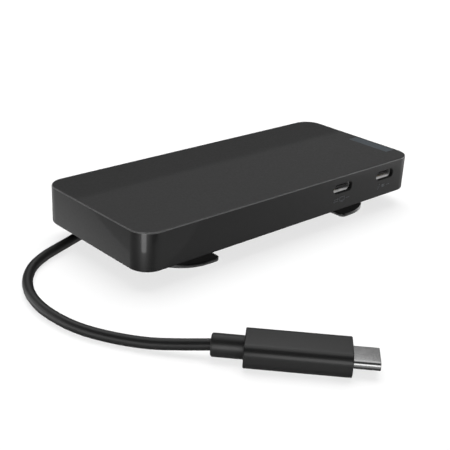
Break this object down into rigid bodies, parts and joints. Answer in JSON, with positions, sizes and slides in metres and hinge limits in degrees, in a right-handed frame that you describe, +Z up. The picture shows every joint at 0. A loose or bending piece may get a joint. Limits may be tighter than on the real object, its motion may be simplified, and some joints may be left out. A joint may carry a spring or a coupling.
{
  "type": "laptop docking station",
  "caption": "Slim rounded-box travel dock on a cord winder base, with ports in its sides and a short captive USB-C cord.",
  "frame": {"origin": "on the standing surface, under the middle of the housing", "axes": "+X along the housing away from the cord's exit, +Y towards the face opposite the two USB-C ports, +Z up"},
  "size_m": [0.1464, 0.1177, 0.0177],
  "materials": {
    "housing": "fine matt texture, dark grey moulding",
    "base": "smooth matt black moulding",
    "rubber": "matt black",
    "cord_rubber": "smooth satin black jacket",
    "plug_plastic": "satin dark grey moulding",
    "steel": "drawn, satin nickel plating",
    "aluminium": "rolled sheet",
    "black_plastic": "black connector moulding",
    "board": "green solder resist",
    "chip": "black moulded package",
    "ferrite": "grey pressed ferrite",
    "capacitor": "yellow moulded case",
    "thermal": "soft blue-grey pad",
    "wire": "flat insulated lead",
    "name_plate": "blank blue-grey plate"
  },
  "bodies": {
    "root": {"top_cover": "housing", "bottom_cover": "base", "cord_spool": "base", "base_plate": "base", "foot_pad_left": "rubber", "foot_pad_right": "rubber", "cord": "cord_rubber", "cord_boot": "cord_rubber", "plug_strain_relief": "cord_rubber", "plug_housing": "plug_plastic", "usb_c_shell_1": "steel", "usb_c_shell_2": "steel", "hdmi_shell_1": "steel", "hdmi_shell_2": "steel", "usb_a_shell_1": "steel", "usb_a_shell_2": "steel", "lan_shell": "steel", "shield_can": "steel", "clock_crystal_1": "steel", "plug_shell": "steel", "cover_screw_1": "steel", "cover_screw_2": "steel", "cover_screw_3": "steel", "cover_screw_4": "steel", "base_screw_1": "steel", "base_screw_2": "steel", "base_screw_3": "steel", "base_screw_4": "steel", "board_screw_1": "steel", "board_screw_2": "steel", "board_screw_3": "steel", "board_screw_4": "steel", "heat_spreader": "aluminium", "usb_c_tongue_1": "black_plastic", "usb_c_tongue_2": "black_plastic", "hdmi_tongue_1": "black_plastic", "hdmi_tongue_2": "black_plastic", "usb_a_tongue_1": "black_plastic", "usb_a_tongue_2": "black_plastic", "lan_contact_comb": "black_plastic", "lan_transformer": "black_plastic", "cord_header": "black_plastic", "plug_insert": "black_plastic", "main_board": "board", "video_chip": "chip", "hub_chip": "chip", "power_chip": "chip", "lan_chip": "chip", "power_inductor_1": "ferrite", "power_inductor_2": "ferrite", "bulk_capacitor_1": "capacitor", "bulk_capacitor_2": "capacitor", "thermal_pad": "thermal", "lead_ribbon": "wire", "name_plate": "name_plate"}
  },
  "joints": []
}
